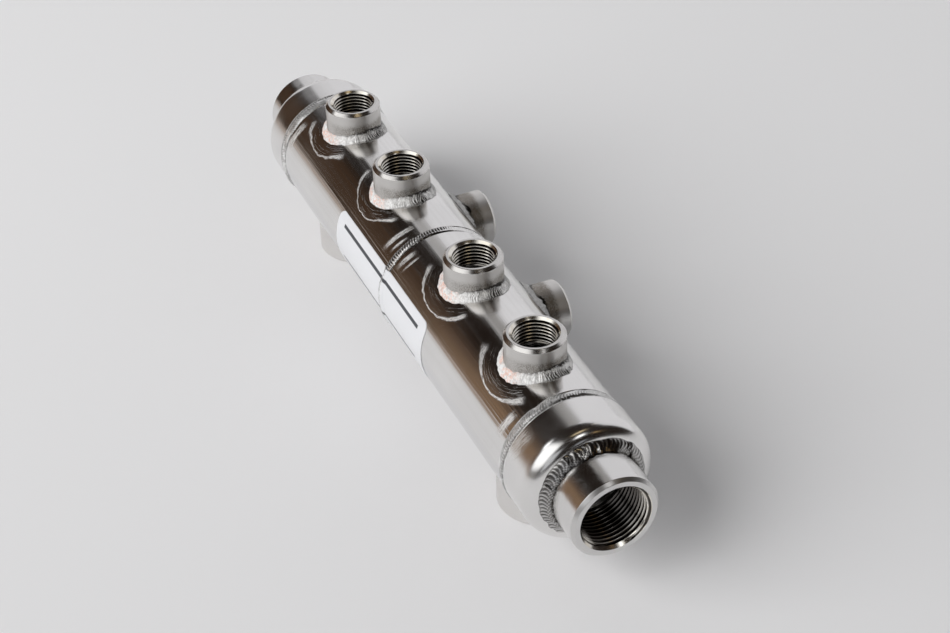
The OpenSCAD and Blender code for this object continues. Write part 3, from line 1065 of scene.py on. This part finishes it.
def disc_finish():
    """The divider's sawn steel"""
    material, tree, inputs, spot = new_material("cut_disc_steel")
    patch = use(tree, "smudge", "Patch", Vector=spot, Size=0.01)
    surface(tree, inputs, mix_colours(tree, patch, SAWN, SAWN_PALE), 1.0, 0.35 + patch * 0.1)
    return material


def dress(material, *nodes):
    """Gives solid nodes their finish"""
    for node in nodes:
        for slot in frame["nodes"][node].material_slots:
            slot.material = material


# ---------------------------------------------------------------- the studio

aim = Vector((mid_x + 42.42 * MM, 0, 8.47 * MM))

# Where the soft box stands: azimuth and elevation from the manifold, and distance
LAMP_WAY = (175, 32)
LAMP_DISTANCE = 5.0
# Width and height of the soft box as angles from the manifold, and its power
LAMP_WIDE = 58
LAMP_HIGH = 50
LAMP_POWER = 303.0

ROOM = (0.012, 0.0075, 0.005, 1)
SOFT_LIGHT = (0.95, 0.95, 0.96, 1)
BACKDROP = (0.66, 0.66, 0.68, 1)
# Floor tones with painted light: lit near the paper, shaded near the room
FLOOR_LIT_NEAR_PAPER = (0.87, 0.865, 0.87, 1)
FLOOR_SHADED_NEAR_ROOM = (0.775, 0.77, 0.775, 1)
BLACK = (0, 0, 0, 1)
WHITE = (1.0, 1.0, 1.0, 1)
PAPER = (0.965, 0.96, 0.985, 1)

# What stands round the table, as the steel sees it: white paper, a dim brown room and a few far
# lights. Each card has its azimuth and elevation from the manifold, width and height as angles,
# colour, strength, distance, blur as a share of its half size, and the power of its outline,
# which is 2 for an ellipse and higher for a box with round corners.
CARDS = [
    ("paper_sweep", -34, 18, 96, 94, PAPER, 0.76, 3.0, 0.12, 8),
    ("paper_sweep_side", -84, 4, 36, 62, PAPER, 0.73, 3.1, 0.3, 8),
    ("soft_box_face", 162, 33, 74, 58, WHITE, 1.32, 2.9, 0.42, 4),
    ("paper_fold", -79, 45, 22, 29, (0.30, 0.29, 0.28, 1), 1.0, 2.9, 0.7, 3),
    ("soft_box_end", -151, 43, 24, 22, WHITE, 1.6, 2.9, 0.6, 3),
    ("reflector", 118, 11, 30, 34, (0.96, 0.97, 1.0, 1), 0.60, 3.0, 0.4, 8),
    ("brown_wall", -148, 14, 58, 44, (0.46, 0.30, 0.20, 1), 0.30, 3.0, 0.7, 3),
    ("brown_desk", -138, 6, 14, 38, (0.64, 0.41, 0.25, 1), 0.36, 2.9, 0.6, 3),
    ("pink_table", -158, 3, 40, 12, (0.60, 0.50, 0.45, 1), 0.55, 2.85, 0.6, 3),
    ("dim_wall", -116, 16, 36, 40, (0.24, 0.13, 0.07, 1), 0.22, 3.1, 0.7, 3),
    ("window_gleam", 82, 42, 15, 16, WHITE, 2.5, 3.0, 0.7, 3),
    ("pale_gleam", 80, 6, 13, 16, (0.55, 0.58, 0.62, 1), 0.8, 3.0, 0.9, 2),
    ("warm_lamp", 60, 30, 9, 10, (1.0, 0.66, 0.30, 1), 0.9, 3.0, 0.8, 2),
    ("warm_ceiling", 80, 64, 26, 12, (1.0, 0.80, 0.50, 1), 1.1, 3.0, 0.8, 3),
    ("small_lamp", 4, 60, 7, 8, (1.0, 0.93, 0.82, 1), 1.1, 2.9, 0.8, 2),
]
# The table's edges: azimuth, the distances from the manifold's near end at which the colour beyond
# begins and is full, and that colour
TABLE_EDGES = [
    ("table_end", 105, 0.34, 0.36, (0.018, 0.014, 0.011, 1)),
    ("table_left", -138, 0.32, 1.0, (0.40, 0.335, 0.29, 1)),
]


def direction(azimuth, elevation):
    """Azimuth is counted from +Y towards +X"""
    a, e = math.radians(azimuth), math.radians(elevation)
    return Vector((math.sin(a) * math.cos(e), math.cos(a) * math.cos(e), math.sin(e)))


def facing(azimuth, elevation, distance):
    """The place and turn of something that stands off in a direction and looks at the manifold"""
    way = direction(azimuth, elevation)
    return Matrix.Translation(aim + way * distance) @ way.to_track_quat("Z", "Y").to_matrix().to_4x4()


def half_size(angle, distance):
    """Half the size of something that is seen under an angle from a distance"""
    return distance * math.tan(math.radians(angle / 2))


def sheet(name, corners):
    mesh = bpy.data.meshes.new(name)
    mesh.from_pydata(corners, [], [(0, 1, 2, 3)])
    return mesh


def rectangle(name, half_x, half_y, z):
    return sheet(name, [(-half_x, -half_y, z), (half_x, -half_y, z), (half_x, half_y, z),
                        (-half_x, half_y, z)])


def glowing(name, mesh, colour, strength, solid):
    """A sheet of light that only reflections see. solid makes the wire that is 1 where it glows
    and 0 where it is clear, from a place on the sheet."""
    made = placed(name, mesh)
    material = bpy.data.materials.new(name)
    tree = emptied(material)
    x, y, _ = split(tree, add(tree, "ShaderNodeTexCoord", "Object"))
    glow = add(tree, "ShaderNodeEmission", Color=colour, Strength=strength)
    show(tree, mix_shaders(tree, solid(x, y), add(tree, "ShaderNodeBsdfTransparent"), glow))
    mesh.materials.append(material)
    made.visible_camera = False
    made.visible_diffuse = False
    made.visible_shadow = False
    made.visible_transmission = False
    return made


def card(name, azimuth, elevation, wide, high, colour, strength, distance, blur, power):
    """A glowing sheet with soft edges that faces the manifold"""
    half_w, half_h = half_size(wide, distance), half_size(high, distance)

    def solid(x, y):
        across = (x / half_w).size().math("POWER", power)
        along = (y / half_h).size().math("POWER", power)
        return (across + along).math("POWER", 1 / power).fade(1 - blur, 1.0)

    made = glowing(name, rectangle(name, half_w, half_h, 0), colour, strength, solid)
    made.matrix_world = facing(azimuth, elevation, distance)


def table_edge(name, azimuth, start, full, colour):
    """What lies beyond an edge of the table, as the steel sees it"""
    reach, lift = 5.0, 1 * MM
    near_end = Vector((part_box("end_cap_b")[1].x, 0, floor_z + lift))
    out = direction(azimuth, 0)
    along = Vector((0, 0, 1)).cross(out)
    corners = [(start, -reach), (reach, -reach), (reach, reach), (start, reach)]

    def solid(x, y):
        return ((x - near_end.x) * out.x + (y - near_end.y) * out.y).step(start, full)

    glowing(name, sheet(name, [near_end + out * a + along * b for a, b in corners]), colour, 1.0, solid)


def lamps():
    """The soft box beside the table. Its face in the reflections is a card of its own."""
    box = bpy.data.lights.new("soft_box", "AREA")
    box.shape = "ELLIPSE"
    box.size = 2 * half_size(LAMP_WIDE, LAMP_DISTANCE)
    box.size_y = 2 * half_size(LAMP_HIGH, LAMP_DISTANCE)
    box.energy = LAMP_POWER
    lamp = placed("soft_box", box)
    lamp.matrix_world = facing(*LAMP_WAY, LAMP_DISTANCE)
    lamp.visible_glossy = False


def world():
    """Pale for the eye, soft light that is weaker on the room's side, and a dark room for the
    steel's reflections"""
    sky = bpy.data.worlds.new("studio")
    bpy.context.scene.world = sky
    tree = emptied(sky)
    x, y, z = split(tree, add(tree, "ShaderNodeTexCoord", "Generated"))
    to_paper = direction(-50, 20)
    facing_paper = x * to_paper.x + y * to_paper.y + z * to_paper.z

    def background(colour, strength):
        return add(tree, "ShaderNodeBackground", Color=colour, Strength=strength)

    lit = background(SOFT_LIGHT, facing_paper.step(-0.8, 0.6, 0.15, 0.39))
    glossy = add(tree, "ShaderNodeLightPath", "Is Glossy Ray")
    seen = add(tree, "ShaderNodeLightPath", "Is Camera Ray")
    unseen = mix_shaders(tree, glossy, lit, background(ROOM, 1.0))
    show(tree, mix_shaders(tree, seen, unseen, background(BACKDROP, 1.0)), "ShaderNodeOutputWorld")


def floor():
    """A plain table with painted light: paler towards the paper and darker towards the room. Far
    from the manifold its colour makes up for the nearer lamp, so that it looks even."""
    reach = 4.0
    mesh = rectangle("floor", reach, reach, floor_z)
    made = placed("floor", mesh)
    material, tree, inputs, spot = new_material("pale_table")
    x, y, _ = split(tree, spot)
    from_middle = x - mid_x
    to_room = direction(113, 0)
    towards_room = from_middle * to_room.x + y * to_room.y
    # Painted light and shade: lighter towards the paper, darker towards the room
    tone = mix_colours(tree, towards_room.step(-0.40, 0.45), FLOOR_LIT_NEAR_PAPER, FLOOR_SHADED_NEAR_ROOM)
    lamp = facing(*LAMP_WAY, LAMP_DISTANCE).translation
    height = lamp.z - floor_z
    dx, dy = x - lamp.x, y - lamp.y
    to_lamp = (dx * dx + dy * dy + height * height).math("SQRT")
    level = (to_lamp / LAMP_DISTANCE).math("POWER", 2.3).at_most(1.0)
    far_out = (from_middle * from_middle + y * y).math("SQRT").step(0.50, 0.85)
    plug(tree, mix_colours(tree, far_out * (1 - level), tone, BLACK), inputs["Base Color"])
    inputs["Roughness"].default_value = 0.45
    inputs["Specular IOR Level"].default_value = 0.0
    mesh.materials.append(material)


def camera():
    azimuth, elevation, roll = math.radians(67.175), math.radians(36.706), math.radians(-2.0497)
    distance = 0.9048
    lens = bpy.data.cameras.new("camera")
    lens.lens = 74.518
    lens.sensor_width = 36
    lens.clip_start = 0.01
    back = Vector((math.sin(azimuth) * math.cos(elevation), -math.cos(azimuth) * math.cos(elevation),
                   math.sin(elevation)))
    right = Vector((math.cos(azimuth), math.sin(azimuth), 0))
    up = back.cross(right)
    x_axis = right * math.cos(roll) + up * math.sin(roll)
    y_axis = up * math.cos(roll) - right * math.sin(roll)
    turn = Matrix((x_axis, y_axis, back)).transposed().to_4x4()
    made = placed("camera", lens)
    made.matrix_world = Matrix.Translation(aim + back * distance) @ turn
    bpy.context.scene.camera = made


# ---------------------------------------------------------------- putting it together

camera()
world()
lamps()
floor()
for settings in CARDS:
    card(*settings)
for settings in TABLE_EDGES:
    table_edge(*settings)

satin_steel = turned_finish("satin_turned_steel", (0.715, 0.70, 0.68, 1),
                            dull=0.33, rim_dull=0.13, ring_depth=0.03 * MM)
# A lighter copy of the satin steel for the couplings underneath: painted light
painted_light_steel = turned_finish("painted_light_turned_steel", (0.80, 0.785, 0.77, 1),
                           dull=0.33, rim_dull=0.13, ring_depth=0.03 * MM)
bright_steel = turned_finish("bright_turned_steel", (0.76, 0.75, 0.74, 1),
                             dull=0.10, rim_dull=0.24, ring_depth=0.02 * MM)
small_thread_steel = thread_finish("cut_thread_steel", dark_from=4 * MM, dark_to=18 * MM)
large_thread_steel = thread_finish("large_thread_steel", dark_from=1 * MM, dark_to=11 * MM)
fillet_steel = bead_finish("frosted_weld_steel", (0.74, 0.735, 0.725, 1),
                           frost=1.0, tint=0.7, grime_and_shade=1.0, dull=0.36)
end_fillet_steel = bead_finish("bright_weld_steel", (0.60, 0.59, 0.58, 1),
                               frost=0.0, tint=0.0, grime_and_shade=0.85, dull=0.08)
mid_steel = bead_finish("mid_weld_steel", (0.86, 0.85, 0.84, 1),
                        frost=0.3, tint=0.15, grime_and_shade=1.0, dull=0.12)
girth_steel = bead_finish("cap_weld_steel", (0.86, 0.855, 0.845, 1),
                          frost=0.85, tint=0.15, grime_and_shade=0.65, dull=0.24)

dress(shell_finish(), "shell_tube_a", "shell_tube_b")
dress(cap_finish(), "end_cap_a", "end_cap_b")
dress(disc_finish(), "divider_disc")
dress(label_finish(), "label")

for number, port in enumerate(ports):
    # The couplings underneath take the copy of the satin steel with painted light
    body_steel = painted_light_steel if below(port) else satin_steel if port.on_shell else bright_steel
    coupling(port, body_steel, large_thread_steel if port.bore > LARGE_BORE else small_thread_steel)
    port_bead(port, fillet_steel if port.on_shell else end_fillet_steel, PORT_SEED + number)
for node, side, worked_from, seed in GIRTH_WELDS:
    girth_bead(node, side, worked_from, girth_steel if side else mid_steel, seed)

bpy.context.scene.view_settings.view_transform = "Standard"
